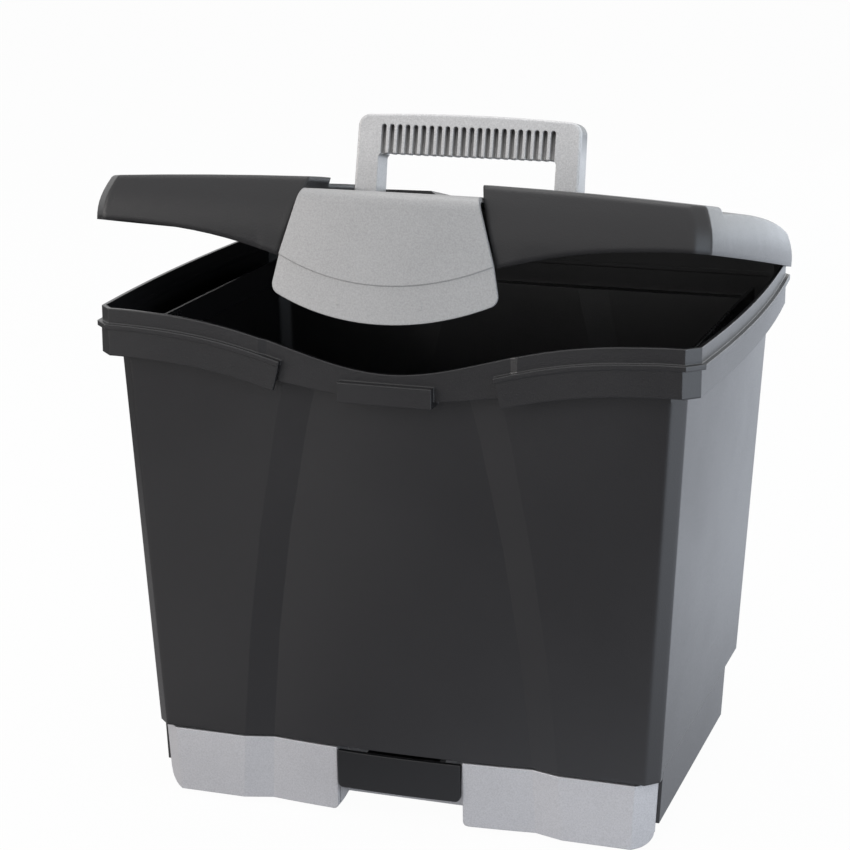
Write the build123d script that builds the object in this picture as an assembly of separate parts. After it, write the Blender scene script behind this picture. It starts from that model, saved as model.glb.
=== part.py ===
from build123d import *
import math
import os

os.makedirs("parts", exist_ok=True)

# Portable file box. Millimetres, +Z up, front towards -Y.
# Origin on the floor under the middle of the tub.

# --- overall sizes the rest follows ---
REACH = 200.0               # half size of cutting blocks, clear of every piece
RIM_TOP = 297.3             # top of the tub lip away from the front wave
LIP_HALF_W = 171.7          # half width of the lip at its corners
LIP_HALF_D = 128.4          # half depth of the lip
FRONT_BOTTOM = 4.0          # lowest edge of the drawer front above the floor
HOUSING_BOTTOM = 17.2       # underside of the drawer housing above the floor
APRON_BOTTOM = 44.3         # lower edge of the tub front above the drawer

# --- tub walls ---
WALL = 2.5
WALL_HALF_W = LIP_HALF_W - 7.07      # wall half width at RIM_TOP, inside the lip
WALL_HALF_D = LIP_HALF_D - 6.03
SIDE_DRAFT = 0.052          # half width lost per mm down the sides
END_DRAFT = 0.040           # half depth lost per mm down the front and back
CORNER = 7.3                # leg of the chamfered upright corners
CORNER_SHRINK = 0.586       # chamfer leg lost per mm of inward offset
SIDE_BOW = 5.0              # outward bow of the sides at the rim
FLAT = 0.05                 # bow of a run that is all but straight
FLOOR_UNDER = APRON_BOTTOM + 4.7
FLOOR_TOP = FLOOR_UNDER + WALL
WALL_RUN = (RIM_TOP + 1.0 - FLOOR_UNDER) / 4
WALL_LEVELS = [APRON_BOTTOM] + [FLOOR_UNDER + WALL_RUN * i for i in range(5)]
PANEL_OUTER = (0.588 * WALL_HALF_W, 0.041, 0.00035)   # half width at the base, narrowing upwards
PANEL_INNER = (0.4865 * WALL_HALF_W, 0.033, 0.00041)
PANEL_SETBACK = (5.0, 0.013)                          # setback at the base, lost per mm upwards

# --- wave of the front rim ---
WAVE_DIP = 26.0             # dip of the lip at the middle of the front
WAVE_SPREAD = 79.4          # width of the bell curve
WAVE_END = 160.0            # half width where the wave is level again
WAVE_BACK = 60.0            # the wave reaches back this far from the middle
WAVE_STEPS = 10             # curve points on each side of the middle

# --- lip, ledge and rolled band ---
LIP_T = 2.2
LIP_PANEL = (74.0, 70.0, 1.3, 0.3)   # outer x, inner x, setback, bow of the lip middle
LEDGE_DROP = 24.5           # ledge top below the lip top
LEDGE_DIP = 14.0            # dip of the ledge at the middle of the front
LEDGE_T = 2.5
LEDGE_TOP = RIM_TOP - LEDGE_DROP
BAND_OUT = 1.8              # band face beyond the lip, front and back
BAND_TUCK = 1.6             # less than that at the sides
BEAD_OUT = 2.6              # bead face beyond the lip
BEAD_DROP = 8.6             # bead top below the lip top
BEAD_TOP = RIM_TOP - BEAD_DROP
BEAD_H = 2.8
BAND_DROP = 26.4            # band lower edge below the lip top
BAND_T = 2.2
BAND_GAP = ((60.7, RIM_TOP - 20.8), (65.9, RIM_TOP - 41.3))   # half widths and heights of the gap ends

# --- catch under the front lip ---
CATCH_HALF_W = 27.0
CATCH_FRONT = LIP_HALF_D + 3.5
CATCH_BACK = WALL_HALF_D - 3.2
CATCH_LOW = RIM_TOP - 42.5
CATCH_HIGH = RIM_TOP - 31.3

# --- file rails ---
RAIL_INNER = WALL_HALF_W - 10.6
RAIL_FLANGE = WALL_HALF_W + 2.4
RAIL_T = 2.0
RAIL_HALF_L = WALL_HALF_D - 17.4
RAIL_RISE = 10.5            # rail edge above the ledge
RAIL_HANG = 5.0             # rail web below the ledge

# --- drawer housing ---
SEAM = 0.3                  # seam between housing and tub, and to the drawer front
FACE_CORNER = 10.8          # chamfer of the drawer front, and its depth
DRAWER_FACE_BACK = WALL_HALF_D - END_DRAFT * (RIM_TOP - FRONT_BOTTOM) - FACE_CORNER
HOUSING_BACK = DRAWER_FACE_BACK - 22.2
HOUSING_T = 2.5
HOUSING_CORNER = 8.0
NOTCH_PLAY = 1.0            # housing floor clear of the finger recess
BASE_HALF_W = WALL_HALF_W - SIDE_DRAFT * (RIM_TOP - HOUSING_BOTTOM)
BOSS_X = BASE_HALF_W - 8.0
BOSS_Y = (0.4 - DRAWER_FACE_BACK * 0.6, HOUSING_BACK - 22.6)
BOSS_R = 5.0
SCREW_SEAT = HOUSING_BOTTOM + 12.8
BOSS_SPLIT = FLOOR_UNDER - 9.0       # housing posts meet the tub posts here
SCREW_TIP = FLOOR_UNDER - 1.5
TUB_POST_R = 4.5
SCREW_R = 1.6
SCREW_HEAD_R = 3.5
SCREW_HEAD_H = 2.4
SCREW_PLAY = 0.1
HEAD_PLAY = 0.5
RECESS_SIDE = 2.6           # across the driver recess
RECESS_SLOT = 0.8
RECESS_DEPTH = 1.4

# --- feet ---
FOOT_X = BASE_HALF_W - 38.0
FOOT_Y = 47.0
FOOT_R_TOP = 12.5
FOOT_R_LOW = 10.0
FOOT_EDGE_R = 1.5

# --- drawer ---
FACE_TOP = APRON_BOTTOM - 1.3
FACE_TUCK = 1.9             # drawer front ends inside the tub sides
FACE_T = 3.0
FACE_FOOT_R = 8.0
RIB_X = 95.0
RIB_T = 3.0
CUT_HALF_W = 38.0
CUT_BACK = DRAWER_FACE_BACK - 8.3
CUT_WALL = 2.5
CUT_FOOT_R = 3.0            # rounded lower corners beside the finger recess
CUT_RISE = 4.1              # the recess wall ends this far above the front
TRAY_HALF_W = BOSS_X - 11.0
TRAY_BACK = HOUSING_BACK - 6.6
TRAY_T = 2.2
TRAY_BOTTOM = HOUSING_BOTTOM + 2.9
TRAY_TOP = FACE_TOP - 1.9
TRAY_CORNER = 6.0
TRAY_FIT = 0.2              # play of the finger recess in the tray front
PULL_HALF_W = CUT_HALF_W - 1.0
PULL_LOW = FRONT_BOTTOM + 15.4
PULL_HIGH = FACE_TOP - 1.2
PULL_FRONT = DRAWER_FACE_BACK + FACE_CORNER + 1.4
PULL_BOW = 1.2
PULL_T = 3.0
PULL_CORNER = 3.0
STEM_HALF_W = 22.0
STEM_H = 5.0
STEM_LOW = PULL_HIGH - 7.6

# --- lid, drawn closed ---
SKIRT_GAP = 0.3             # closed skirt above the bead
LID_Z = BEAD_TOP + SKIRT_GAP         # lower edge of the closed skirt
LID_OPEN = 12.2             # degrees the lid stands open
LIP_PLAY = 0.5              # play between skirt and lip
SKIRT_IN = 2.2              # skirt thickness where it passes the lip
SKIRT_HALF_W = LIP_HALF_W + LIP_PLAY + SKIRT_IN
SKIRT_HALF_D = LIP_HALF_D + LIP_PLAY + SKIRT_IN
SKIRT_DEEP = 40.0           # raw skirt below its lower edge, cut away along the wave
SKIRT_STEPS = ((9.5, 0.4), (18.0, 2.6), (27.0, 6.4), (36.0, 10.9))   # height, inset
LID_T = 2.5
LID_EDGE_R = 3.0
CROWN_FALL = 5.9            # the crown is this much lower at the sides
CROWN_R = SKIRT_HALF_W ** 2 / (2 * CROWN_FALL)
CROWN_ARC = 9.0             # degrees of crown kept
REAR_SHARES = ((-1.02, 25.6), (-0.6, 28.8), (-0.3, 30.4), (0.0, 31.1), (0.44, 30.5), (0.72, 28.9), (0.87, 27.3), (1.001, 25.0))
FRONT_SHARES = ((-1.02, 29.7), (-0.85, 30.9), (-0.6, 31.7), (1.001, 31.9))
CROWN_REAR = [(SKIRT_HALF_D * share, z) for share, z in REAR_SHARES]     # height of the crown front to back
CROWN_FRONT = [(SKIRT_HALF_D * share, z) for share, z in FRONT_SHARES]   # the same of the raised front block
STEP_Y = -0.69 * SKIRT_HALF_D        # the front block ends here
LIP_ABOVE = 1.0             # inner lid edges above the lip top
LIP_CLEAR_IN = 8.0          # lid kept off this far inside the lip
CHANNEL = ((50.9, 23.3), (61.6, -12.4), (66.0, -36.0))   # half width and height of the front channel
CHANNEL_TOP = 48.9          # channel half width above the crown
CHANNEL_Z = 16.5
CHANNEL_BACK = 49.0
FRONT_RECESS = SKIRT_HALF_D - 4.5    # lid face behind the latch plate
WELL_HALF_W = 70.3
WELL_Z = 10.5
WELL_FRONT = -CHANNEL_BACK
WELL_BACK = 22.5
GROOVE_TOP = 27.0
GROOVE_LOW = 21.0
GROOVE_DEPTH = 3.5

# --- lid hinge ---
HINGE_Y = SKIRT_HALF_D + 12.4
HINGE_Z = LID_Z - 2.0
HINGE_X = 96.0
KNUCKLE_R = 5.2
HINGE_PIN_R = 2.0
PIN_PLAY = 0.05
LUG_W = 16.0
EAR_W = 9.0
KNUCKLE_GAP = 0.4
EAR_LOW = RIM_TOP - 24.3
LUG_HIGH = LID_Z + 8.0

# --- latch plate, drawn on the closed lid ---
LATCH_SIDE = ((49.8, 23.3), (60.5, -12.4), (63.7, -29.3))   # half width and height of the sides
LATCH_LOW = -47.5
LATCH_RISE = 12.5
LATCH_SPAN = 59.0
LATCH_MID = SKIRT_HALF_D + 7.7
LATCH_END = SKIRT_HALF_D + 2.2
LATCH_END_X = 60.0
LATCH_T = 2.8
LATCH_TOP_R = 7.0
LATCH_TIP_R = 6.0
CREASE_Z = -26.8
CREASE_RISE = 13.2
CREASE_STEP = 0.7
LATCH_PIVOT_Y = 18.1 - SKIRT_HALF_D
LATCH_PIVOT_Z = CHANNEL_Z + 3.5
BARREL_R = 3.2
BARREL_HALF_L = 50.2
LATCH_PIN_R = 1.5
LATCH_PIN_HALF_L = 53.8
HOOK_HALF_W = 24.0
HOOK_BACK = CATCH_FRONT - 1.9
HOOK_TOP = CATCH_LOW - 0.15
HOOK_H = 4.0

# --- handle, drawn upright on the closed lid ---
HANDLE_LOW_X = WELL_HALF_W - 1.5
HANDLE_TOP_X = HANDLE_LOW_X - 0.6
HANDLE_IN_X = HANDLE_LOW_X - 14.3
HANDLE_TOP = 75.3
HANDLE_SHOULDER = 73.4
GRIP_LOW = 51.2
HANDLE_CORNER = 7.0
HANDLE_IN_R = 3.0
HANDLE_EDGE_R = 1.5
HANDLE_FRONT = 1.0
HANDLE_DEPTH_LOW = 18.0
HANDLE_DEPTH_TOP = 16.0
PIVOT_Y = HANDLE_FRONT + HANDLE_DEPTH_LOW / 2
PIVOT_Z = WELL_Z + 10.0
PIVOT_END_R = HANDLE_DEPTH_LOW / 2
HANDLE_PIN_R = 2.5
HANDLE_PIN_IN = HANDLE_IN_X + 1.5
HANDLE_PIN_OUT = WELL_HALF_W + 7.0
LID_BOSS_R = 6.0
LID_BOSS_OUT = HANDLE_PIN_OUT + 1.5
FLUTES = 22
FLUTE_PITCH = 4.94
FLUTE_W = 3.0
FLUTE_TOP = 68.2
FLUTE_DEPTH = 5.5
FLUTE_BACK = HANDLE_DEPTH_TOP - FLUTE_DEPTH


def closed_face(start, steps):
    """Face bounded by straight steps (end,) and arc steps (through, end)."""
    edges = []
    here = start
    for step in steps:
        if len(step) == 1:
            edges.append(Line(here, step[0]))
        else:
            edges.append(ThreePointArc(here, step[0], step[1]))
        here = step[-1]
    return make_face(edges)


def plan(half_w, half_d, chamfer, side_bow, front=None, back=None):
    """Plan outline with chamfered corners, bowed sides and set-back middle panels."""
    steps = []
    for turn, panel in ((1, front), (-1, back)):
        run = []
        if panel:
            outer, inner, setback, bow = panel
            face = setback - half_d
            run += [((-outer, -half_d),), ((-inner, face),)]
            run += [((0, face - bow), (inner, face)), ((outer, -half_d),)]
        run += [((half_w - chamfer, -half_d),), ((half_w, chamfer - half_d),)]
        run += [((half_w + side_bow, 0), (half_w, half_d - chamfer)), ((half_w - chamfer, half_d),)]
        steps += [tuple((turn * x, turn * y) for x, y in step) for step in run]
    return closed_face((chamfer - half_w, -half_d), steps)


def inset_plan(inset, half_w=LIP_HALF_W, half_d=LIP_HALF_D, bow=SIDE_BOW, front=None):
    """Rim-shaped outline moved inwards by the inset."""
    return plan(half_w - inset, half_d - inset, CORNER - CORNER_SHRINK * inset, bow, front)


def half_width(z):
    return WALL_HALF_W - SIDE_DRAFT * (RIM_TOP - z)


def half_depth(z):
    return WALL_HALF_D - END_DRAFT * (RIM_TOP - z)


def middle_panel(z):
    """Edges, setback and bow of the bowed middle panel at a height."""
    rise = z - FRONT_BOTTOM
    outer, inner = (base - lean * rise - curve * rise ** 2 for base, lean, curve in (PANEL_OUTER, PANEL_INNER))
    setback = PANEL_SETBACK[0] - PANEL_SETBACK[1] * rise
    return outer, inner, setback, setback


def wall_plan(z, inset=0.0, corner=CORNER, tuck=0.0):
    """Tub wall outline at a height, moved inwards by the inset, and by the tuck at the sides."""
    bow = max(SIDE_BOW * (z - FLOOR_UNDER) / (RIM_TOP - FLOOR_UNDER), FLAT)
    panel = middle_panel(z)
    leg = corner - CORNER_SHRINK * inset
    return plan(half_width(z) - inset - tuck, half_depth(z) - inset, leg, bow, panel, panel)


def wall_loft(levels, inset=0.0, corner=CORNER, tuck=0.0):
    return loft([Pos(0, 0, z) * wall_plan(z, inset, corner, tuck) for z in levels], ruled=True)


def ring(outer, inner, low, high):
    return Pos(0, 0, low) * extrude(outer - inner, high - low)


def slab(low, high):
    return Pos(0, 0, (low + high) / 2) * Box(2 * REACH, 2 * REACH, high - low)


def wave(x):
    """Bell curve, 1 at the middle of the front and 0 at WAVE_END."""
    tail = math.exp(-((WAVE_END / WAVE_SPREAD) ** 2))
    return (math.exp(-((x / WAVE_SPREAD) ** 2)) - tail) / (1 - tail)


def under(level, dip, low=0.0):
    """Everything below a level that dips at the middle of the front."""
    xs = [WAVE_END * i / WAVE_STEPS for i in range(-WAVE_STEPS, WAVE_STEPS + 1)]
    crest = Spline(*[(x, level - dip * wave(x)) for x in xs], tangents=[(1, 0), (1, 0)])
    rest = Polyline((WAVE_END, level), (REACH, level), (REACH, low), (-REACH, low), (-REACH, level), (-WAVE_END, level))
    front = extrude(Plane.XZ.offset(WAVE_BACK) * make_face([crest, rest]), REACH - WAVE_BACK)
    depth = REACH + WAVE_BACK
    back = Pos(0, REACH - depth / 2, (level + low) / 2) * Box(2 * REACH, depth, level - low)
    return front + back


def trapezoid(points, y_front, y_back):
    """Prism along Y, symmetric about X = 0, from (half width, height) points."""
    pts = [(x, z) for x, z in points] + [(-x, z) for x, z in reversed(points)]
    face = make_face(Polyline(*pts, close=True))
    return extrude(Plane.XZ.offset(-y_back) * face, y_back - y_front)


def side_prism(points, x0, x1):
    """Prism along X from (y, z) points."""
    face = make_face(Polyline(*points, close=True))
    return extrude(Plane.YZ.offset(x0) * face, x1 - x0)


def rod(x0, x1, y, z, radius):
    """Cylinder along X."""
    return Pos((x0 + x1) / 2, y, z) * Rot(0, 90, 0) * Cylinder(radius, x1 - x0)


def tilt_lid(piece):
    """Swing a piece drawn on the closed lid to the standing-open lid."""
    return Pos(0, HINGE_Y, HINGE_Z) * Rot(-LID_OPEN, 0, 0) * Pos(0, -HINGE_Y, -HINGE_Z) * piece


def save(node, piece):
    piece.label = node
    export_step(piece, "parts/" + node + ".step")


# --- tub ---
ledge_under = under(LEDGE_TOP - LEDGE_T, LEDGE_DIP)
ledge_top = under(LEDGE_TOP, LEDGE_DIP)
wall = wall_loft(WALL_LEVELS) & ledge_top
lip_low = LEDGE_TOP - LEDGE_T - WAVE_DIP
lip_block = Pos(0, 0, lip_low) * extrude(inset_plan(0.0, front=LIP_PANEL), RIM_TOP - lip_low + 1.0)
lip_hollow = Pos(0, 0, lip_low) * extrude(inset_plan(LIP_T, front=LIP_PANEL), RIM_TOP - lip_low + 2.0)
lip = (lip_block & under(RIM_TOP, WAVE_DIP)) - ledge_under - (lip_hollow - ledge_top)
hollow = wall_loft([FLOOR_TOP] + WALL_LEVELS[2:-1] + [RIM_TOP + 2.0], WALL)
tub = wall + lip - hollow

band_half_w = LIP_HALF_W - BAND_TUCK
band_raw = ring(inset_plan(-BAND_OUT, band_half_w), inset_plan(BAND_T - BAND_OUT, band_half_w), lip_low - BAND_DROP, RIM_TOP)
bead_raw = ring(inset_plan(-BEAD_OUT), inset_plan(LIP_T / 2 + LIP_PANEL[2]), lip_low - BAND_DROP, RIM_TOP)
bead_top = under(BEAD_TOP, WAVE_DIP)
band = (band_raw & bead_top) - under(RIM_TOP - BAND_DROP, WAVE_DIP)
bead = (bead_raw & bead_top) - under(BEAD_TOP - BEAD_H, WAVE_DIP)
(gap_top_x, gap_top_z), (gap_low_x, gap_low_z) = BAND_GAP
gap_slope = (gap_low_x - gap_top_x) / (gap_top_z - gap_low_z)
gap_ends = [(gap_top_x - 15 * gap_slope, gap_top_z + 15), (gap_low_x + 30 * gap_slope, gap_low_z - 30)]
front_gap = trapezoid(gap_ends, -REACH, LIP_PANEL[2] - LIP_HALF_D)
tub += (band + bead) - front_gap
catch_depth = CATCH_FRONT - CATCH_BACK
catch_mid = Pos(0, -(CATCH_FRONT + CATCH_BACK) / 2, (CATCH_LOW + CATCH_HIGH) / 2)
tub += catch_mid * Box(2 * CATCH_HALF_W, catch_depth, CATCH_HIGH - CATCH_LOW)

tub -= wall_loft((APRON_BOTTOM - 1.0, FLOOR_UNDER), WALL)
tub -= Pos(0, REACH - DRAWER_FACE_BACK, 0) * Box(2 * REACH, 2 * REACH, 2 * FLOOR_UNDER)
for x in (-BOSS_X, BOSS_X):
    for y in BOSS_Y:
        tub += Pos(x, y, (BOSS_SPLIT + SEAM + FLOOR_TOP) / 2) * Cylinder(TUB_POST_R, FLOOR_TOP - BOSS_SPLIT - SEAM)
        tub -= Pos(x, y, (BOSS_SPLIT + SCREW_TIP) / 2) * Cylinder(SCREW_R + PIN_PLAY, SCREW_TIP - BOSS_SPLIT + 1.0)

band_face = LIP_HALF_D + BAND_OUT
for side in (-1, 1):
    for end in (-1, 1):
        inner = LUG_W / 2 + KNUCKLE_GAP
        x0 = side * HINGE_X + (inner if end > 0 else -inner - EAR_W)
        web = [(band_face - 1.0, EAR_LOW), (band_face - 1.0, BEAD_TOP)]
        web += [(HINGE_Y, BEAD_TOP), (HINGE_Y + KNUCKLE_R * 0.8, HINGE_Z - KNUCKLE_R * 0.6)]
        tub += side_prism(web, x0, x0 + EAR_W) + rod(x0, x0 + EAR_W, HINGE_Y, HINGE_Z, KNUCKLE_R)
    tub -= rod(side * HINGE_X - 30, side * HINGE_X + 30, HINGE_Y, HINGE_Z, HINGE_PIN_R + PIN_PLAY)
save("tub", tub)

# --- hinge pins ---
hinge_half = LUG_W / 2 + KNUCKLE_GAP + EAR_W
for node, side in (("hinge_pin_left", -1), ("hinge_pin_right", 1)):
    save(node, rod(side * HINGE_X - hinge_half, side * HINGE_X + hinge_half, HINGE_Y, HINGE_Z, HINGE_PIN_R))

# --- file rails ---
for node, side in (("file_rail_left", -1), ("file_rail_right", 1)):
    web_h = RAIL_RISE + RAIL_HANG
    web = Pos(side * (RAIL_INNER + RAIL_T / 2), 0, LEDGE_TOP - RAIL_HANG + web_h / 2) * Box(RAIL_T, 2 * RAIL_HALF_L, web_h)
    flange_w = RAIL_FLANGE - RAIL_INNER
    flange = Pos(side * (RAIL_INNER + flange_w / 2), 0, LEDGE_TOP + RAIL_T / 2) * Box(flange_w, 2 * RAIL_HALF_L, RAIL_T)
    save(node, web + flange)

# --- drawer housing ---
housing_top = FLOOR_UNDER - SEAM
housing_front = SEAM - DRAWER_FACE_BACK


def housing_face(z, inset):
    half = half_width(z) - inset
    front = housing_front - inset
    face = Pos(0, (front + HOUSING_BACK - inset) / 2) * Rectangle(2 * half, HOUSING_BACK - inset - front)
    rear = face.vertices().group_by(Axis.Y)[-1]
    return Pos(0, 0, z) * fillet(rear, HOUSING_CORNER - inset)


housing = loft([housing_face(HOUSING_BOTTOM, 0), housing_face(housing_top, 0)], ruled=True)
housing -= loft([housing_face(HOUSING_BOTTOM + HOUSING_T, HOUSING_T), housing_face(housing_top + 1, HOUSING_T)], ruled=True)
notch_back = CUT_BACK - CUT_WALL - NOTCH_PLAY
notch_w = 2 * (CUT_HALF_W + CUT_WALL + NOTCH_PLAY)
housing -= Pos(0, -notch_back - REACH / 2, HOUSING_BOTTOM) * Box(notch_w, REACH, 3 * HOUSING_T)
screws = []
for x in (-BOSS_X, BOSS_X):
    for y in BOSS_Y:
        place = Pos(x, y, HOUSING_BOTTOM)
        post_h = BOSS_SPLIT - HOUSING_BOTTOM
        seat_h = SCREW_SEAT - HOUSING_BOTTOM
        align = (Align.CENTER, Align.CENTER, Align.MIN)
        housing += place * Cylinder(BOSS_R, post_h, align=align)
        housing -= place * Cylinder(SCREW_HEAD_R + HEAD_PLAY, seat_h, align=align)
        housing -= place * Cylinder(SCREW_R + SCREW_PLAY, post_h + 1, align=align)
        head_z = SCREW_SEAT - SCREW_HEAD_H
        screw = Pos(x, y, head_z) * Cylinder(SCREW_HEAD_R, SCREW_HEAD_H, align=align)
        screw += Pos(x, y, head_z) * Cylinder(SCREW_R, SCREW_TIP - head_z, align=align)
        screw -= Pos(x, y, head_z + RECESS_DEPTH / 2) * Box(RECESS_SIDE, RECESS_SLOT, RECESS_DEPTH)
        screw -= Pos(x, y, head_z + RECESS_DEPTH / 2) * Box(RECESS_SLOT, RECESS_SIDE, RECESS_DEPTH)
        screws.append(screw)
save("drawer_housing", housing)
save("housing_screws", Compound(children=[s.solid() for s in screws]))

# --- feet ---
for node, x, y in (
    ("foot_front_left", -FOOT_X, -FOOT_Y),
    ("foot_front_right", FOOT_X, -FOOT_Y),
    ("foot_rear_left", -FOOT_X, FOOT_Y),
    ("foot_rear_right", FOOT_X, FOOT_Y),
):
    foot = Pos(x, y, HOUSING_BOTTOM / 2) * Cone(FOOT_R_LOW, FOOT_R_TOP, HOUSING_BOTTOM)
    save(node, fillet(foot.edges().group_by(Axis.Z)[0], FOOT_EDGE_R))

# --- drawer front ---
face_levels = (FRONT_BOTTOM, FACE_TOP)
shell = wall_loft(face_levels, 0.0, FACE_CORNER, FACE_TUCK)
core_levels = (FRONT_BOTTOM + FACE_T, FACE_TOP - FACE_T)
shell -= wall_loft(core_levels, FACE_T, FACE_CORNER, FACE_TUCK)
shell &= Pos(0, -DRAWER_FACE_BACK - REACH / 2, 0) * Box(2 * REACH, REACH, 2 * REACH)
for side in (-1, 1):
    rib_y = -(half_depth(FRONT_BOTTOM) - FACE_T / 2 + DRAWER_FACE_BACK) / 2
    rib_d = half_depth(FRONT_BOTTOM) - FACE_T / 2 - DRAWER_FACE_BACK
    shell += Pos(side * RIB_X, rib_y, (FRONT_BOTTOM + FACE_TOP) / 2) * Box(RIB_T, rib_d, FACE_TOP - FRONT_BOTTOM - FACE_T)
recess_front = half_depth(FRONT_BOTTOM) - 6.0
recess_mid = -(recess_front + CUT_BACK - CUT_WALL) / 2
recess_d = recess_front - CUT_BACK + CUT_WALL
recess_w = 2 * (CUT_HALF_W + CUT_WALL)
shell += Pos(0, recess_mid, (FRONT_BOTTOM + FACE_TOP) / 2) * Box(recess_w, recess_d, FACE_TOP - FRONT_BOTTOM)
cut_h = FACE_TOP - FRONT_BOTTOM
shell -= Pos(0, -CUT_BACK - REACH / 2, FRONT_BOTTOM + cut_h / 2) * Box(2 * CUT_HALF_W, REACH, 2 * cut_h)
foot_front = -half_depth(FRONT_BOTTOM)
wedge = [(foot_front, FRONT_BOTTOM), (-CUT_BACK, FRONT_BOTTOM + CUT_RISE), (-DRAWER_FACE_BACK + REACH / 2, FRONT_BOTTOM + CUT_RISE)]
wedge += [(-DRAWER_FACE_BACK + REACH / 2, 0), (foot_front, 0)]
shell -= side_prism(wedge, -recess_w / 2, recess_w / 2)
for edge_x, radius, inward in ((half_width(FRONT_BOTTOM) - FACE_TUCK, FACE_FOOT_R, -1), (CUT_HALF_W, CUT_FOOT_R, 1)):
    for side in (-1, 1):
        centre_x = side * (edge_x + inward * radius)
        corner = Pos(side * (edge_x + inward * (radius / 2 - 1)), -DRAWER_FACE_BACK, FRONT_BOTTOM + radius / 2 - 1)
        corner *= Box(radius + 2, 60, radius + 2)
        corner -= Pos(centre_x, -DRAWER_FACE_BACK, FRONT_BOTTOM + radius) * Rot(90, 0, 0) * Cylinder(radius, 80)
        shell -= corner
save("drawer_front", shell)

# --- drawer tray ---
tray_l = TRAY_BACK + DRAWER_FACE_BACK
tray_mid = (TRAY_BACK - DRAWER_FACE_BACK) / 2
tray_h = TRAY_TOP - TRAY_BOTTOM
tray_plan = RectangleRounded(2 * TRAY_HALF_W, tray_l, TRAY_CORNER)
tray_core = RectangleRounded(2 * (TRAY_HALF_W - TRAY_T), tray_l - 2 * TRAY_T, TRAY_CORNER - TRAY_T)
tray = Pos(0, tray_mid, TRAY_BOTTOM) * extrude(tray_plan, tray_h)
tray -= Pos(0, tray_mid, TRAY_BOTTOM + TRAY_T) * extrude(tray_core, tray_h)
slot_w = recess_w + 2 * TRAY_FIT
slot_back = CUT_BACK - CUT_WALL - TRAY_FIT
pocket_w = slot_w + 2 * TRAY_T
pocket = Pos(0, -(DRAWER_FACE_BACK + slot_back - TRAY_T) / 2, (TRAY_BOTTOM + TRAY_TOP) / 2)
tray += pocket * Box(pocket_w, DRAWER_FACE_BACK - slot_back + TRAY_T, tray_h)
slot = Pos(0, -(slot_back + REACH / 2), (TRAY_BOTTOM + TRAY_TOP) / 2)
tray -= slot * Box(slot_w, REACH, 2 * tray_h)
save("drawer_tray", tray)

# --- drawer pull ---
pull_start = (-PULL_HALF_W, -PULL_FRONT)
pull_steps = [((0, -PULL_FRONT - PULL_BOW), (PULL_HALF_W, -PULL_FRONT)), ((PULL_HALF_W, PULL_T - PULL_FRONT),)]
pull_steps += [((0, PULL_T - PULL_FRONT - PULL_BOW), (-PULL_HALF_W, PULL_T - PULL_FRONT)), (pull_start,)]
pull = Pos(0, 0, PULL_LOW) * extrude(closed_face(pull_start, pull_steps), PULL_HIGH - PULL_LOW)
pull_low_corners = pull.edges().filter_by(Axis.Y).group_by(Axis.Z)[0]
pull = fillet(pull_low_corners, PULL_CORNER)
stem_front = PULL_FRONT - PULL_T + PULL_BOW
stem_mid = Pos(0, -(stem_front + CUT_BACK) / 2, STEM_LOW + STEM_H / 2)
pull += stem_mid * Box(2 * STEM_HALF_W, stem_front - CUT_BACK, STEM_H)
save("drawer_pull", pull)


# --- lid ---
def lid_block(inset, crest_points):
    """Crowned lid body moved inwards by the inset."""
    knee_z, knee = SKIRT_STEPS[0]
    low, high = (SKIRT_IN, SKIRT_IN) if inset else (0.0, knee)
    sections = [(-SKIRT_DEEP - inset, low), (-SKIRT_DEEP / 2, low), (0.0, low), (knee_z, high)]
    sections += [(z, step + inset) for z, step in SKIRT_STEPS[1:]]
    faces = []
    for z, step in sections:
        faces.append(Pos(0, 0, LID_Z + z) * plan(SKIRT_HALF_W - step, SKIRT_HALF_D - step, CORNER, SIDE_BOW))
    body = loft(faces)
    crest = Spline(*crest_points)
    deep = -SKIRT_DEEP - 20.0
    first, last = crest_points[0], crest_points[-1]
    rest = Polyline(last, (last[0], deep), (first[0], deep), first)
    slice_face = Plane.YZ * make_face([crest, rest])
    crown = revolve(slice_face, Axis((0, 0, -CROWN_R), (0, 1, 0)), CROWN_ARC)
    crown = Pos(0, 0, -CROWN_R) * Rot(0, -CROWN_ARC / 2, 0) * Pos(0, 0, CROWN_R) * crown
    return body & (Pos(0, 0, LID_Z - inset) * crown)


def lid_pockets(wall):
    """Front channel, latch recess, handle well and rear groove, grown by the wall."""
    channel = [(CHANNEL_TOP + wall, LID_Z + CHANNEL[0][1] + 9.0)] + [(x + wall, LID_Z + z) for x, z in CHANNEL]
    floor_z = LID_Z + CHANNEL_Z - wall
    prism = trapezoid(channel, -REACH, -CHANNEL_BACK + wall)
    front = prism & (Pos(0, -REACH - FRONT_RECESS + wall, LID_Z) * Box(2 * REACH, 2 * REACH, 2 * REACH))
    top = prism & slab(floor_z, LID_Z + REACH)
    well_d = WELL_BACK - WELL_FRONT + 2 * wall
    well = Pos(0, (WELL_BACK + WELL_FRONT) / 2, LID_Z + WELL_Z - wall + REACH / 2)
    well *= Box(2 * (WELL_HALF_W + wall), well_d, REACH)
    groove_floor = LID_Z + REAR_SHARES[4][1] - GROOVE_DEPTH - wall
    crown_drop = 12.0
    groove_pts = [(GROOVE_TOP + wall + crown_drop, groove_floor + GROOVE_DEPTH + 2 * crown_drop)]
    groove_pts += [(GROOVE_TOP + wall, groove_floor + GROOVE_DEPTH), (GROOVE_LOW + wall, groove_floor)]
    groove = trapezoid(groove_pts, WELL_BACK, REACH)
    return front, top, well, groove




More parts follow.
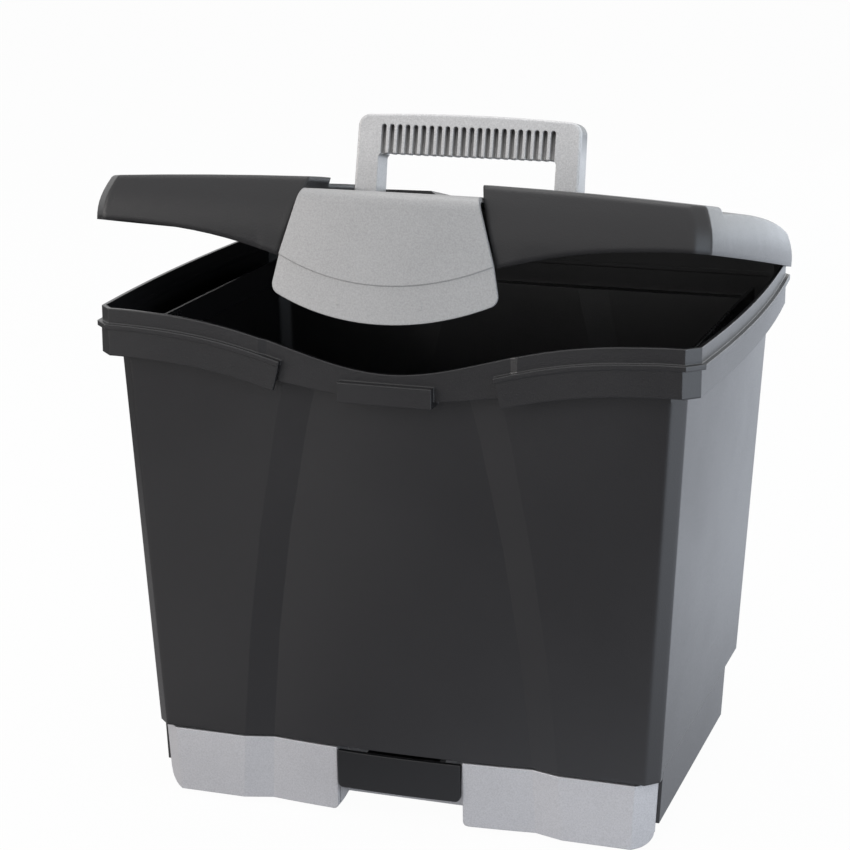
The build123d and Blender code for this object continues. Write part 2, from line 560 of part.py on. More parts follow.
def lid_halves(inset, edge_r):
    """Raised front block and lower rear of the lid, moved inwards by the inset."""
    halves = []
    for crest_points, side in ((CROWN_FRONT, -1), (CROWN_REAR, 1)):
        half = lid_block(inset, crest_points)
        if edge_r:
            half = fillet(half.faces().sort_by(Axis.Z)[-1].edges(), edge_r)
        half &= Pos(0, STEP_Y - inset + side * REACH, LID_Z) * Box(2 * REACH, 2 * REACH, 2 * REACH)
        halves.append(half)
    return halves


lid_front, lid_rear = lid_halves(0.0, LID_EDGE_R)
lid = lid_front + lid_rear
for pocket in lid_pockets(0.0):
    lid -= pocket
for lid_core in lid_halves(LID_T, 0.0):
    for pocket in lid_pockets(LID_T):
        lid_core -= pocket
    lid -= lid_core
lid -= under(LID_Z, WAVE_DIP)
keep_off = ring(
    inset_plan(-LIP_PLAY, front=LIP_PANEL),
    inset_plan(LIP_CLEAR_IN, front=LIP_PANEL),
    lip_low,
    RIM_TOP + 2 * LIP_ABOVE,
)
lid -= keep_off & under(RIM_TOP + LIP_ABOVE, WAVE_DIP)
for side in (-1, 1):
    boss_w = LID_BOSS_OUT - WELL_HALF_W - LID_T / 2
    boss_x = side * (LID_BOSS_OUT - boss_w / 2)
    lid += rod(boss_x - boss_w / 2, boss_x + boss_w / 2, PIVOT_Y, LID_Z + PIVOT_Z, LID_BOSS_R)
    bore_x = side * (HANDLE_PIN_OUT + WELL_HALF_W) / 2
    bore_half = (HANDLE_PIN_OUT - WELL_HALF_W) / 2 + PIN_PLAY
    lid -= rod(bore_x - bore_half, bore_x + bore_half, PIVOT_Y, LID_Z + PIVOT_Z, HANDLE_PIN_R + PIN_PLAY)
    x0 = side * HINGE_X - LUG_W / 2
    lug = [(SKIRT_HALF_D - SKIRT_IN / 2, LID_Z + 0.3), (SKIRT_HALF_D - SKIRT_IN / 2, LUG_HIGH)]
    lug += [(HINGE_Y + KNUCKLE_R * 0.3, HINGE_Z + KNUCKLE_R * 0.95), (HINGE_Y, LID_Z + 0.3)]
    lid += side_prism(lug, x0, x0 + LUG_W) + rod(x0, x0 + LUG_W, HINGE_Y, HINGE_Z, KNUCKLE_R)
    lid -= rod(x0 - 1, x0 + LUG_W + 1, HINGE_Y, HINGE_Z, HINGE_PIN_R + PIN_PLAY)
latch_bore_half = LATCH_PIN_HALF_L + PIN_PLAY
pivot_z = LID_Z + LATCH_PIVOT_Z
lid -= rod(-latch_bore_half, latch_bore_half, LATCH_PIVOT_Y, pivot_z, LATCH_PIN_R + PIN_PLAY)
save("lid", tilt_lid(lid))

# --- latch plate and its pin ---
latch_low = LID_Z + LATCH_LOW
latch_high = LID_Z + LATCH_SIDE[0][1]
latch_reach = LATCH_SIDE[2][0] + 4.0


def latch_front(shift):
    """Bowed front line of the latch plate, moved back by the shift."""
    bow = (LATCH_MID - LATCH_END) * (latch_reach / LATCH_END_X) ** 2
    end_y = -LATCH_MID + bow + shift
    return (-latch_reach, end_y), (0, -LATCH_MID + shift), (latch_reach, end_y)


def latch_body(shift, back_y, low, high, edge_r):
    start, mid, end = latch_front(shift)
    face = closed_face(start, [(mid, end), ((latch_reach, back_y),), ((-latch_reach, back_y),), (start,)])
    block = Pos(0, 0, low) * extrude(face, high - low)
    if edge_r:
        block = fillet(block.edges().group_by(Axis.Z)[-1].sort_by(Axis.Y)[0], edge_r)
    return block


latch = latch_body(0.0, LATCH_PIVOT_Y, latch_low - 1, latch_high, LATCH_TOP_R)
latch -= latch_body(LATCH_T, LATCH_PIVOT_Y + 1, latch_low - 2, latch_high - LATCH_T, LATCH_TOP_R - LATCH_T)
side_pts = [(x, LID_Z + z) for x, z in LATCH_SIDE]


def latch_arc(level, rise, span, end_x):
    """Arc through the middle level that climbs by the rise at the span."""
    end_z = LID_Z + level + rise * (end_x / span) ** 2
    return ThreePointArc((-end_x, end_z), (0, LID_Z + level), (end_x, end_z))


tip_x = LATCH_SIDE[2][0] + 0.9
low_arc = latch_arc(LATCH_LOW, LATCH_RISE, LATCH_SPAN, tip_x)
left_run = Polyline(low_arc @ 0, (-side_pts[1][0], side_pts[1][1]), (-side_pts[0][0], side_pts[0][1]))
top_run = Polyline((-side_pts[0][0], side_pts[0][1]), side_pts[0])
right_run = Polyline(side_pts[0], side_pts[1], low_arc @ 1)
outline = make_face([low_arc, left_run, top_run, right_run])
tips = outline.vertices().group_by(Axis.Y)[0]
outline = fillet(tips, LATCH_TIP_R)
latch &= extrude(Plane.XZ.offset(-REACH / 2 + REACH) * outline, REACH)
crease = latch_arc(CREASE_Z, CREASE_RISE, LATCH_SPAN, latch_reach)
crease_low = Polyline(crease @ 1, (latch_reach, latch_low - 9), (-latch_reach, latch_low - 9), crease @ 0)
below_crease = extrude(Plane.XZ.offset(REACH / 2) * make_face([crease, crease_low]), REACH / 2)
skin = latch_body(0.0, LATCH_PIVOT_Y, latch_low - 1, latch_high, 0.0)
skin -= latch_body(CREASE_STEP, LATCH_PIVOT_Y + 1, latch_low - 2, latch_high + 1, 0.0)
latch -= skin & below_crease
barrel = rod(-BARREL_HALF_L, BARREL_HALF_L, LATCH_PIVOT_Y, pivot_z, BARREL_R)
latch += barrel
hook_d = LATCH_MID - LATCH_T / 2 - HOOK_BACK
hook_mid = Pos(0, -HOOK_BACK - hook_d / 2, HOOK_TOP - HOOK_H / 2)
latch += hook_mid * Box(2 * HOOK_HALF_W, hook_d, HOOK_H)
latch -= rod(-latch_bore_half, latch_bore_half, LATCH_PIVOT_Y, pivot_z, LATCH_PIN_R + PIN_PLAY)
save("latch_plate", tilt_lid(latch))
save("latch_pin", tilt_lid(rod(-LATCH_PIN_HALF_L, LATCH_PIN_HALF_L, LATCH_PIVOT_Y, pivot_z, LATCH_PIN_R)))

# --- handle and its pins ---
arm_low = PIVOT_Z - PIVOT_END_R
top_arc = ThreePointArc((-HANDLE_TOP_X, HANDLE_SHOULDER), (0, HANDLE_TOP), (HANDLE_TOP_X, HANDLE_SHOULDER))
legs = Polyline(
    (HANDLE_TOP_X, HANDLE_SHOULDER),
    (HANDLE_LOW_X, arm_low),
    (HANDLE_IN_X, arm_low),
    (HANDLE_IN_X, GRIP_LOW),
    (-HANDLE_IN_X, GRIP_LOW),
    (-HANDLE_IN_X, arm_low),
    (-HANDLE_LOW_X, arm_low),
    (-HANDLE_TOP_X, HANDLE_SHOULDER),
)
bail = make_face([top_arc, legs])
shoulders = bail.vertices().group_by(Axis.Y)[-1]
bail = fillet(shoulders, HANDLE_CORNER)
under_grip = [v for v in bail.vertices() if abs(v.Y - GRIP_LOW) < 0.01]
bail = fillet(under_grip, HANDLE_IN_R)
handle = Pos(0, 0, LID_Z) * extrude(Plane.XZ.offset(-REACH / 2) * bail, REACH)
pivot_at = LID_Z + PIVOT_Z
low_back = HANDLE_FRONT + HANDLE_DEPTH_LOW
cheek_start = (HANDLE_FRONT, pivot_at)
cheek_steps = [((PIVOT_Y, pivot_at - PIVOT_END_R), (low_back, pivot_at))]
cheek_steps += [((HANDLE_FRONT + HANDLE_DEPTH_TOP, LID_Z + HANDLE_TOP + 1.0),)]
cheek_steps += [((HANDLE_FRONT, LID_Z + HANDLE_TOP + 1.0),), (cheek_start,)]
cheek = Plane.YZ.offset(-REACH / 2) * closed_face(cheek_start, cheek_steps)
handle &= extrude(cheek, REACH)
rim_faces = (HANDLE_FRONT, HANDLE_FRONT + HANDLE_DEPTH_TOP)
top_edges = handle.edges().filter_by(lambda e: e.center().Z > LID_Z + HANDLE_SHOULDER - HANDLE_CORNER)
top_edges = top_edges.filter_by(lambda e: min(abs(e.center().Y - y) for y in rim_faces) < 1.0)
handle = fillet(top_edges, HANDLE_EDGE_R)
flute_h = FLUTE_TOP - GRIP_LOW + 4.0
flute_face = Sketch()
for i in range(FLUTES):
    x = (i - (FLUTES - 1) / 2) * FLUTE_PITCH
    flute_face += Pos(x, LID_Z + FLUTE_TOP - flute_h / 2) * SlotOverall(flute_h, FLUTE_W, rotation=90)
for y, depth in ((HANDLE_FRONT + FLUTE_DEPTH, REACH), (HANDLE_FRONT + FLUTE_BACK, -REACH)):
    handle -= extrude(Plane.XZ.offset(-y) * flute_face, depth) & slab(LID_Z + GRIP_LOW - 1, LID_Z + FLUTE_TOP + 1)
handle -= rod(-REACH / 2, REACH / 2, PIVOT_Y, pivot_at, HANDLE_PIN_R + PIN_PLAY)
save("handle", tilt_lid(handle))
for node, side in (("handle_pin_left", -1), ("handle_pin_right", 1)):
    ends = sorted((side * HANDLE_PIN_IN, side * HANDLE_PIN_OUT))
    save(node, tilt_lid(rod(ends[0], ends[1], PIVOT_Y, pivot_at, HANDLE_PIN_R)))
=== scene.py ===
import math

import bpy
from mathutils import Matrix, Vector

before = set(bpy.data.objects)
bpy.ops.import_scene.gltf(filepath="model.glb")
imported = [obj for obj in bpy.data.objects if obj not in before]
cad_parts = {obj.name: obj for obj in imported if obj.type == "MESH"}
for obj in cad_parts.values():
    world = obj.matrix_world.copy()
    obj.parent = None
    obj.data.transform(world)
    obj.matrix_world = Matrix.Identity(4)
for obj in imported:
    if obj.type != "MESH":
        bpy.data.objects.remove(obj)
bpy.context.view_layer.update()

bl_info = {
    "name": "File box looks",
    "version": (1, 0, 0),
    "blender": (4, 5, 0),
    "location": "3D View > Sidebar > File box",
    "description": "Finishes, light and camera for the portable file box",
    "category": "Object",
}

MM = 0.001

# The photographed opening of the lid, which also leans the handle.
LID_AJAR = math.radians(12.2)

# The handle's front face, measured square to it, and the heights of its flutes along the lean.
# These also place the painted shade in the flutes.
HANDLE_FACE = 62.4 * MM
GRIP_LOW = 364.9 * MM
FLUTE_TOP = 382.0 * MM

# The corners of the tub's wall are broadly rounded: below this height and beyond this half width.
CORNER_ROUNDING_MM = 4.0
TUB_WALL_TOP = 266.0 * MM
TUB_CORNER_X = 120.0 * MM

# Strength of the black pieces' grain, and of the faint paler rub marks on all moulded plastic,
# partly painted sheen.
BLACK_GRAIN = 0.45
RUB_AND_SHEEN_SHARE = 0.25

# The drawer's silver is a little bluer than the plain one, and lighter: painted light for the weak
# light low down.
DRAWER_PAINTED_LIGHT_AND_TINT = (1.30, 1.30, 1.34)

# Sockets of Blender's colour Mix node, which has one set for each kind of value.
MIX_FACTOR, MIX_A, MIX_B, MIX_RESULT = 0, 6, 7, 2


# ---------------------------------------------------------------- shader maths
class Wire:
    """A shader value. Arithmetic on it adds Math nodes to its tree."""

    def __init__(self, board, socket):
        self.board = board
        self.socket = socket

    def math(self, operation, *values):
        return self.board.node("ShaderNodeMath", {"operation": operation}, dict(enumerate(values)))

    def __add__(self, other):
        return self.math("ADD", self, other)

    def __radd__(self, other):
        return self.math("ADD", other, self)

    def __sub__(self, other):
        return self.math("SUBTRACT", self, other)

    def __rsub__(self, other):
        return self.math("SUBTRACT", other, self)

    def __mul__(self, other):
        return self.math("MULTIPLY", self, other)

    def __rmul__(self, other):
        return self.math("MULTIPLY", other, self)

    def __abs__(self):
        return self.math("ABSOLUTE", self)


class Board:
    """One node tree, with a single method that makes any node."""

    def __init__(self, tree):
        self.tree = tree
        tree.nodes.clear()

    def node(self, kind, settings=None, inputs=None, out=0):
        """Adds a node: settings first, then values or links of its sockets. Gives one output."""
        made = self.tree.nodes.new(kind)
        for name, value in (settings or {}).items():
            setattr(made, name, value)
        for key, value in (inputs or {}).items():
            if isinstance(value, Wire):
                self.tree.links.new(value.socket, made.inputs[key])
            else:
                made.inputs[key].default_value = value
        return Wire(self, made.outputs[out]) if made.outputs else None

    def mix(self, share, first, second):
        """Colour, or direction, between two of them by a share."""
        inputs = {MIX_FACTOR: share, MIX_A: first, MIX_B: second}
        return self.node("ShaderNodeMix", {"data_type": "RGBA"}, inputs, MIX_RESULT)

    def noise(self, place, scale, detail=2.0, rough=0.5):
        inputs = {"Vector": place, "Scale": scale, "Detail": detail, "Roughness": rough}
        return self.node("ShaderNodeTexNoise", None, inputs)

    def ramp(self, value, low, high):
        """Value stretched so that low becomes 0 and high becomes 1, and held there beyond."""
        inputs = {"Value": value, "From Min": low, "From Max": high}
        return self.node("ShaderNodeMapRange", {"clamp": True}, inputs)

    def place(self):
        """The point in the piece's own frame."""
        return self.node("ShaderNodeTexCoord", out="Object")

    def stretched(self, place, scale):
        """The place with each axis scaled, for long marks."""
        return self.node("ShaderNodeMapping", None, {"Vector": place, "Scale": scale})

    def axes(self, place, *numbers):
        """The place's coordinates along the axes with these numbers."""
        inputs = {"Vector": place}
        return [self.node("ShaderNodeSeparateXYZ", None, inputs, axis) for axis in numbers]

    def rounded(self, radius_mm, samples=6):
        """Surface direction with the edges eased by a radius."""
        return self.node("ShaderNodeBevel", {"samples": samples}, {"Radius": radius_mm * MM})

    def bump(self, strength, distance, height, normal):
        inputs = {"Strength": strength, "Distance": distance, "Height": height, "Normal": normal}
        return self.node("ShaderNodeBump", None, inputs)

    def surface(self, inputs):
        """Ends the tree in one Principled shader."""
        shader = self.node("ShaderNodeBsdfPrincipled", None, inputs)
        self.node("ShaderNodeOutputMaterial", None, {"Surface": shader})

    def ray(self, kind):
        return self.node("ShaderNodeLightPath", out=kind)


def shade(colour, factor):
    """The colour made darker or lighter by a factor."""
    return tuple(c * factor for c in colour[:3]) + (1.0,)


def new_material(name):
    """A material and the board of its emptied node tree."""
    material = bpy.data.materials.new(name)
    material.use_nodes = True
    return material, Board(material.node_tree)


# ---------------------------------------------------------------- finishes
def moulded_plastic(name, colour, roughness, grain, edge=0.8, specular=0.90, wide=None):
    """Moulded plastic: fine spark-eroded grain, soft mottling, faint paler rub marks that are
    partly painted sheen, eased edges.

    edge is the easing of the edges in mm, and grain the strength of the grain. wide gives from a
    place the share of the broad corner rounding.
    """
    material, board = new_material(name)
    place = board.place()
    cloud = board.ramp(board.noise(place, scale=9.0, detail=3.0), 0.35, 0.65)
    pore = board.noise(place, scale=2100.0, rough=0.6)
    speck = board.ramp(board.noise(place, scale=900.0, rough=0.6), 0.35, 0.75)
    long_place = board.stretched(place, (30.0, 30.0, 300.0))
    long_noise = board.noise(long_place, scale=1.0, detail=4.0, rough=0.7)
    # Paler, glossier streaks: rub marks, and painted sheen for soft streaks of reflected light.
    rubs_and_sheen = board.ramp(long_noise, 0.60, 0.78) * RUB_AND_SHEEN_SHARE
    tone = cloud * 0.12 + speck * 0.18
    body = board.mix(tone, shade(colour, 0.88), shade(colour, 1.22))
    body = board.mix(rubs_and_sheen * 0.5, body, shade(colour, 1.9))
    normal = board.rounded(edge)
    if wide:
        broad = board.rounded(CORNER_ROUNDING_MM, samples=8)
        normal = board.mix(wide(board, place), normal, broad)
    inputs = {
        "Base Color": body,
        "Roughness": cloud * 0.05 + speck * 0.05 + (roughness - 0.05) - rubs_and_sheen * 0.1,
        "Specular IOR Level": specular,
        "Normal": board.bump(grain, 0.12 * MM, pore + speck * 0.5, normal),
    }
    board.surface(inputs)
    return material


def flake_plastic(name, colour, roughness, metallic, edge, painted_shade=None):
    """Silver plastic with a fine metal flake: speckled tone and gloss over a smooth skin.

    edge is the easing of the edges in mm. The hollow-shade function, if given, takes a place and
    gives the share of painted shade that darkens a deep hollow.
    """
    material, board = new_material(name)
    place = board.place()
    flake = board.ramp(board.noise(place, scale=1150.0, rough=0.65), 0.32, 0.68)
    drift = board.ramp(board.noise(place, scale=14.0, detail=3.0), 0.30, 0.70)
    ripple = board.noise(place, scale=420.0)
    body = board.mix(flake * 0.70 + drift * 0.25, shade(colour, 0.80), shade(colour, 1.14))
    # Painted shade: deep hollows are darkened in the colour, where shade falls.
    if painted_shade:
        body = board.mix(painted_shade(board, place), body, shade(colour, 0.05))
    inputs = {
        "Base Color": body,
        "Metallic": flake * 0.25 + (metallic - 0.12),
        "Roughness": flake * 0.08 + drift * 0.04 + (roughness - 0.06),
        "Normal": board.bump(0.22, 0.1 * MM, flake + ripple, board.rounded(edge)),
    }
    board.surface(inputs)
    return material


def drawn_steel(name, colour):
    """Plain steel rod: fine drawn lines along X and slight mottling."""
    material, board = new_material(name)
    long_place = board.stretched(board.place(), (60.0, 3000.0, 3000.0))
    streak = board.noise(long_place, scale=1.0, detail=3.0)
    inputs = {
        "Base Color": board.mix(streak, shade(colour, 0.8), shade(colour, 1.1)),
        "Metallic": 1.0,
        "Roughness": streak * 0.15 + 0.25,
        "Normal": board.bump(0.15, 0.05 * MM, streak, board.rounded(0.3, samples=4)),
    }
    board.surface(inputs)
    return material


def tub_corners(board, place):
    """Share of the broad rounding: the outer upright corners of the wall, below the rim band."""
    x, z = board.axes(place, 0, 2)
    below = board.ramp(z, TUB_WALL_TOP + MM, TUB_WALL_TOP)
    outer = board.ramp(abs(x), TUB_CORNER_X - MM, TUB_CORNER_X)
    return below * outer


def flute_painted_shade(board, place):
    """Share of painted shade in the grip's flutes, for the shade that falls in them: it grows with
    depth behind the face and with height.
    """
    y, z = board.axes(place, 1, 2)
    across, up = math.cos(LID_AJAR), math.sin(LID_AJAR)
    depth = y * across - z * up + HANDLE_FACE
    height = y * up + z * across
    deep = board.ramp(depth, 0.6 * MM, 4.0 * MM)
    high = board.ramp(height, GRIP_LOW, FLUTE_TOP)
    return deep * high * 0.85


def dress(nodes, material):
    """Gives CAD nodes a finish in every material slot."""
    for name in nodes:
        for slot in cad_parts[name].material_slots:
            slot.material = material


# ---------------------------------------------------------------- settings
class FileBoxColours(bpy.types.PropertyGroup):
    """Colours and gloss of the box."""

    black: bpy.props.FloatVectorProperty(
        name="Black",
        description="Charcoal of the tub and lid",
        subtype="COLOR",
        size=4,
        default=(0.0114, 0.0109, 0.0124, 1.0),
    )
    silver: bpy.props.FloatVectorProperty(
        name="Silver",
        description="Silver of latch, handle and drawer",
        subtype="COLOR",
        size=4,
        default=(0.49, 0.485, 0.485, 1.0),
    )
    gloss_black: bpy.props.FloatVectorProperty(
        name="Pull",
        description="Glossy black of the drawer pull",
        subtype="COLOR",
        size=4,
        default=(0.015, 0.015, 0.016, 1.0),
    )
    rubber: bpy.props.FloatVectorProperty(
        name="Feet",
        description="Black of the feet",
        subtype="COLOR",
        size=4,
        default=(0.012, 0.012, 0.012, 1.0),
    )
    steel: bpy.props.FloatVectorProperty(
        name="Steel",
        description="Steel of pins and screws",
        subtype="COLOR",
        size=4,
        default=(0.55, 0.55, 0.56, 1.0),
    )
    black_rough: bpy.props.FloatProperty(
        name="Black roughness",
        description="Roughness of the grained black",
        subtype="FACTOR",
        default=0.36,
        min=0.0,
        max=1.0,
    )


class FileBoxStage(bpy.types.PropertyGroup):
    """Camera and floor."""

    camera_at: bpy.props.FloatVectorProperty(
        name="Camera",
        description="Place of the camera",
        subtype="TRANSLATION",
        unit="LENGTH",
        default=(0.4176, -1.3010, 0.5801),
    )
    pitch: bpy.props.FloatProperty(
        name="Pitch",
        description="How far the camera looks down",
        subtype="ANGLE",
        default=math.radians(15.142),
    )
    yaw: bpy.props.FloatProperty(
        name="Yaw",
        description="How far the camera is turned to the left",
        subtype="ANGLE",
        default=math.radians(18.626),
    )
    roll: bpy.props.FloatProperty(
        name="Roll",
        description="Tilt of the picture",
        subtype="ANGLE",
        default=math.radians(-0.221),
    )
    lens: bpy.props.FloatProperty(
        name="Lens",
        description="Focal length for a 36 mm wide picture",
        default=100.465,
    )
    floor: bpy.props.FloatVectorProperty(
        name="Floor",
        description="Colour of the floor",
        subtype="COLOR",
        size=4,
        default=(0.80, 0.80, 0.80, 1.0),
    )


# ---------------------------------------------------------------- pieces
class FILEBOX_OT_tub(bpy.types.Operator):
    """Finish the tub and its file rails"""

    bl_idname = "filebox.tub"
    bl_label = "Tub and rails"

    def execute(self, context):
        colours = context.scene.filebox_colours
        black, rough = colours.black, colours.black_rough
        tub = moulded_plastic("tub_grain", black, rough, BLACK_GRAIN, edge=0.9, wide=tub_corners)
        dress(["tub"], tub)
        # Painted highlight: the rails' black is lightened for the bright line along their edges.
        rail = moulded_plastic("rail_smooth_painted_highlight", shade(black, 1.6), roughness=0.25, grain=0.1)
        dress(["file_rail_left", "file_rail_right"], rail)
        return {"FINISHED"}


class FILEBOX_OT_base(bpy.types.Operator):
    """Finish the drawer housing, feet and screws"""

    bl_idname = "filebox.base"
    bl_label = "Base"

    def execute(self, context):
        colours = context.scene.filebox_colours
        black, rough = colours.black, colours.black_rough
        dress(["drawer_housing"], moulded_plastic("housing_grain", black, rough, BLACK_GRAIN))
        feet = [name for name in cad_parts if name.startswith("foot_")]
        dress(feet, moulded_plastic("foot_rubber", colours.rubber, roughness=0.75, grain=0.8))
        dress(["housing_screws"], drawn_steel("screw_zinc", colours.steel))
        return {"FINISHED"}


class FILEBOX_OT_lid(bpy.types.Operator):
    """Finish the lid and its pins"""

    bl_idname = "filebox.lid"
    bl_label = "Lid"

    def execute(self, context):
        colours = context.scene.filebox_colours
        # Painted shade: the lid's black is a darker copy of the tub's, holding down the stronger
        # light on it.
        black, rough = shade(colours.black, 0.86), colours.black_rough
        lid = moulded_plastic("lid_grain_painted_shade", black, rough, BLACK_GRAIN, edge=4.2, specular=0.50)
        dress(["lid"], lid)
        steel = drawn_steel("pin_steel", colours.steel)
        dress(["hinge_pin_left", "hinge_pin_right", "latch_pin"], steel)
        pin = moulded_plastic("pin_black", colours.black, roughness=0.4, grain=0.2)
        dress(["handle_pin_left", "handle_pin_right"], pin)
        return {"FINISHED"}


class FILEBOX_OT_latch(bpy.types.Operator):
    """Finish the silver latch plate"""

    bl_idname = "filebox.latch"
    bl_label = "Latch"

    def execute(self, context):
        colours = context.scene.filebox_colours
        silver = shade(colours.silver, 0.80)
        plate = flake_plastic("latch_silver", silver, roughness=0.50, metallic=0.16, edge=0.9)
        dress(["latch_plate"], plate)
        return {"FINISHED"}


class FILEBOX_OT_handle(bpy.types.Operator):
    """Finish the silver handle"""

    bl_idname = "filebox.handle"
    bl_label = "Handle"

    def execute(self, context):
        colours = context.scene.filebox_colours
        # Painted light: the handle's silver is a lighter copy of the plain one, for the stronger
        # light on it.
        silver = shade(colours.silver, 1.33)
        handle = flake_plastic(
            "handle_silver_painted_light_and_shade", silver, roughness=0.42, metallic=0.16, edge=0.8, painted_shade=flute_painted_shade
        )
        dress(["handle"], handle)
        return {"FINISHED"}


class FILEBOX_OT_drawer(bpy.types.Operator):
    """Finish the drawer"""

    bl_idname = "filebox.drawer"
    bl_label = "Drawer"

    def execute(self, context):
        colours = context.scene.filebox_colours
        # Painted light: the drawer's silver is lightened to make up for the weaker light that
        # reaches it.
        silver = tuple(c * tint for c, tint in zip(colours.silver, DRAWER_PAINTED_LIGHT_AND_TINT)) + (1.0,)
        front = flake_plastic("drawer_silver_painted_light", silver, roughness=0.36, metallic=0.34, edge=0.9)
        dress(["drawer_front"], front)
        tray = moulded_plastic("tray_grain", colours.black, roughness=0.45, grain=0.4)
        dress(["drawer_tray"], tray)
        gloss = colours.gloss_black
        pull = moulded_plastic("pull_gloss", gloss, roughness=0.12, grain=0.05, specular=0.6)
        dress(["drawer_pull"], pull)
        return {"FINISHED"}


# ---------------------------------------------------------------- stage
# Soft boxes: name, place, aim, width and height, watts, colour, and whether the plastic mirrors it.
LAMPS = (
    ("key_box", (-1.7, -1.2, 0.7), (0.0, 0.0, 0.15), (0.9, 1.0), 14.5, (1.0, 0.96, 0.93), True),
    ("back_box", (0.9, 2.2, 0.6), (0.1, 0.0, 0.2), (2.0, 1.3), 10.0, (0.84, 0.92, 1.0), True),
    ("right_box", (1.7, -0.8, 0.6), (0.0, 0.0, 0.15), (1.3, 1.2), 10.5, (0.74, 0.87, 1.0), True),
    ("front_box", (0.4, -1.7, 1.9), (0.0, 0.0, 0.3), (1.2, 0.8), 10.5, (1.0, 0.985, 0.97), False),
    ("top_box", (0.0, 0.2, 2.2), (0.0, 0.0, 0.2), (1.6, 1.2), 15.0, (1.0, 1.0, 1.0), True),
)

# The floor's own light: its strength, its share over the paper for the camera,
# and the paper white that this strength brings to 1.
GLOW = 1.25
FLOOR_SHOWN = 0.97
FLOOR_WHITE = (0.8, 0.8, 0.8, 1.0)

# What the plastic mirrors of the floor: dark far to the left and far in front, dim in front, and
# bright behind and to the right.
MIRROR_FAR_LEFT = (0.08, 0.08, 0.08, 1.0)
MIRROR_LEFT = (0.315, 0.31, 0.315, 1.0)
MIRROR_FRONT = (0.19, 0.19, 0.20, 1.0)
MIRROR_FAR_FRONT = (0.06, 0.06, 0.065, 1.0)
MIRROR_BEHIND = (0.86, 0.91, 1.0, 1.0)

# Where, in metres on the floor, one of these passes into the next: along x, x, y and x + y.
FAR_LEFT_TO_LEFT = (-0.75, -0.50)
LEFT_TO_FRONT = (-0.19, -0.08)
FAR_FRONT_TO_NEAR = (-1.1, -0.6)
FRONT_TO_BEHIND = (-0.3, 0.6)

FLOOR_HALF_SIDE = 6.0

# The soft light all round, and the white that takes its place where it is looked at.
WORLD_LIGHT = {"Color": (0.95, 0.97, 1.0, 1.0), "Strength": 0.42}
WORLD_WHITE = {"Color": (1.0, 1.0, 1.0, 1.0), "Strength": 1.0}


def area_light(name, at, aim, size, watts, colour, mirrored):
    """Soft box that points from its place at the aim."""
    data = bpy.data.lights.new(name, "AREA")
    data.shape = "RECTANGLE"
    data.size, data.size_y = size
    data.energy = watts
    data.color = colour
    lamp = bpy.data.objects.new(name, data)
    bpy.context.scene.collection.objects.link(lamp)
    lamp.location = at
    lamp.rotation_euler = (Vector(aim) - Vector(at)).to_track_quat("-Z", "Y").to_euler()
    lamp.visible_camera = False
    lamp.visible_glossy = mirrored


def floor_mirror(board, place):
    """Colour of the floor as the plastic mirrors it, from the place on the floor."""
    x, y = board.axes(place, 0, 1)
    left = board.mix(board.ramp(x, *FAR_LEFT_TO_LEFT), MIRROR_FAR_LEFT, MIRROR_LEFT)
    near = board.mix(board.ramp(x, *LEFT_TO_FRONT), left, MIRROR_FRONT)
    front = board.mix(board.ramp(y, *FAR_FRONT_TO_NEAR), MIRROR_FAR_FRONT, near)
    return board.mix(board.ramp(x + y, *FRONT_TO_BEHIND), front, MIRROR_BEHIND)


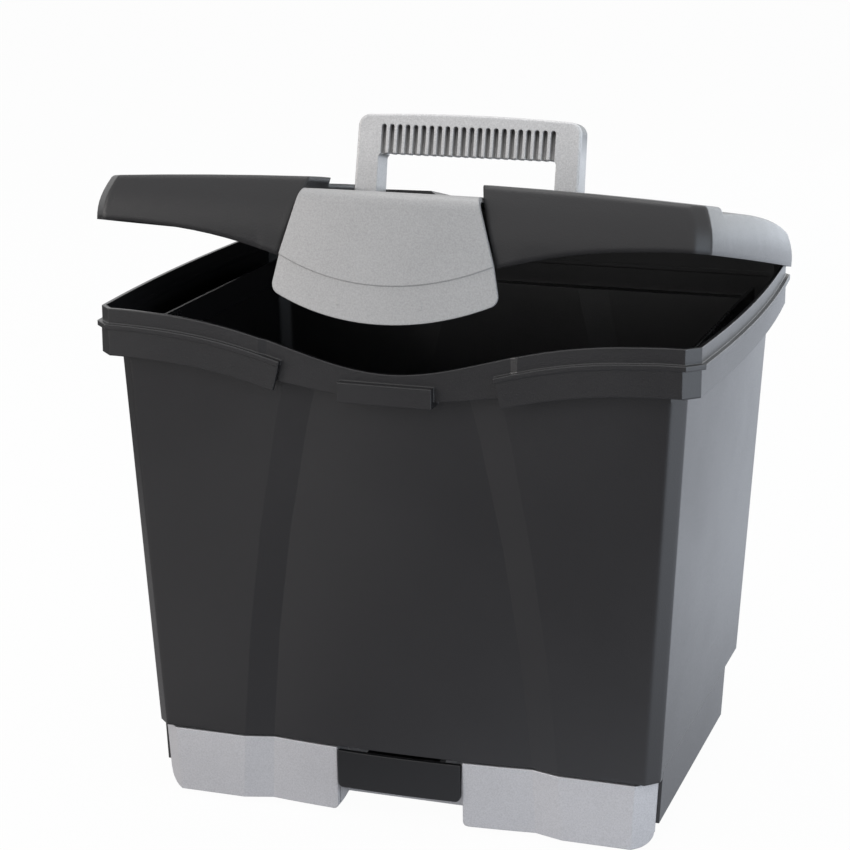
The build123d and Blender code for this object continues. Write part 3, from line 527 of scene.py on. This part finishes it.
class FILEBOX_OT_stage(bpy.types.Operator):
    """Set the camera, the soft light and the pale floor"""

    bl_idname = "filebox.stage"
    bl_label = "Stage"

    def execute(self, context):
        stage = context.scene.filebox_stage
        self.camera(context, stage)
        self.floor(context, stage)
        self.world(context)
        for lamp in LAMPS:
            area_light(*lamp)
        return {"FINISHED"}

    def camera(self, context, stage):
        data = bpy.data.cameras.new("camera")
        data.lens = stage.lens
        data.sensor_width = 36.0
        data.clip_start = 0.05
        data.clip_end = 50.0
        camera = bpy.data.objects.new("camera", data)
        context.scene.collection.objects.link(camera)
        yaw = Matrix.Rotation(stage.yaw, 4, "Z")
        pitch = Matrix.Rotation(math.pi / 2 - stage.pitch, 4, "X")
        roll = Matrix.Rotation(stage.roll, 4, "Z")
        camera.matrix_world = Matrix.Translation(stage.camera_at) @ (yaw @ pitch) @ roll
        context.scene.camera = camera

    def floor(self, context, stage):
        """Flat square of floor, one grid cell."""
        side = FLOOR_HALF_SIDE
        mesh = bpy.data.meshes.new("floor")
        corners = [(-side, -side, 0), (side, -side, 0), (side, side, 0), (-side, side, 0)]
        mesh.from_pydata(corners, [], [(0, 1, 2, 3)])
        floor = bpy.data.objects.new("floor", mesh)
        context.scene.collection.objects.link(floor)
        material, board = new_material("floor_paper")
        place = board.place()
        cloud = board.noise(place, scale=3.0)
        tone = board.mix(cloud, shade(stage.floor, 0.99), shade(stage.floor, 1.0))
        finish = {"Base Color": tone, "Roughness": 0.9, "Specular IOR Level": 0.1}
        paper = board.node("ShaderNodeBsdfPrincipled", None, finish)
        seen, mirrored = board.ray("Is Camera Ray"), board.ray("Is Glossy Ray")
        tint = board.mix(mirrored, FLOOR_WHITE, floor_mirror(board, place))
        glow = board.node("ShaderNodeEmission", None, {"Color": tint, "Strength": GLOW})
        shown = seen * FLOOR_SHOWN + mirrored
        blend = board.node("ShaderNodeMixShader", None, {0: shown, 1: paper, 2: glow})
        board.node("ShaderNodeOutputMaterial", None, {"Surface": blend})
        mesh.materials.append(material)

    def world(self, context):
        """Soft light all round, and white where the camera, a mirror or glass shows it."""
        world = bpy.data.worlds.new("studio")
        context.scene.world = world
        world.use_nodes = True
        board = Board(world.node_tree)
        seen, mirrored = board.ray("Is Camera Ray"), board.ray("Is Glossy Ray")
        shown = seen + mirrored + board.ray("Is Transmission Ray")
        light = board.node("ShaderNodeBackground", None, WORLD_LIGHT)
        white = board.node("ShaderNodeBackground", None, WORLD_WHITE)
        both = board.node("ShaderNodeMixShader", None, {0: shown, 1: light, 2: white})
        board.node("ShaderNodeOutputWorld", None, {"Surface": both})
        context.scene.view_settings.view_transform = "Standard"


PIECES = (
    FILEBOX_OT_tub,
    FILEBOX_OT_base,
    FILEBOX_OT_lid,
    FILEBOX_OT_latch,
    FILEBOX_OT_handle,
    FILEBOX_OT_drawer,
    FILEBOX_OT_stage,
)


class FILEBOX_PT_panel(bpy.types.Panel):
    """Lists the pieces of the file box"""

    bl_idname = "FILEBOX_PT_panel"
    bl_label = "File box"
    bl_space_type = "VIEW_3D"
    bl_region_type = "UI"
    bl_category = "File box"

    def draw(self, context):
        layout = self.layout
        for piece in PIECES:
            layout.operator(piece.bl_idname)
        for group in (context.scene.filebox_colours, context.scene.filebox_stage):
            box = layout.box()
            for name in group.__annotations__:
                box.prop(group, name)


CLASSES = (FileBoxColours, FileBoxStage) + PIECES + (FILEBOX_PT_panel,)


def register():
    for item in CLASSES:
        bpy.utils.register_class(item)
    bpy.types.Scene.filebox_colours = bpy.props.PointerProperty(type=FileBoxColours)
    bpy.types.Scene.filebox_stage = bpy.props.PointerProperty(type=FileBoxStage)


def unregister():
    del bpy.types.Scene.filebox_stage
    del bpy.types.Scene.filebox_colours
    for item in reversed(CLASSES):
        bpy.utils.unregister_class(item)


def main():
    register()
    for piece in PIECES:
        group, name = piece.bl_idname.split(".")
        getattr(getattr(bpy.ops, group), name)()


if __name__ == "__main__":
    main()
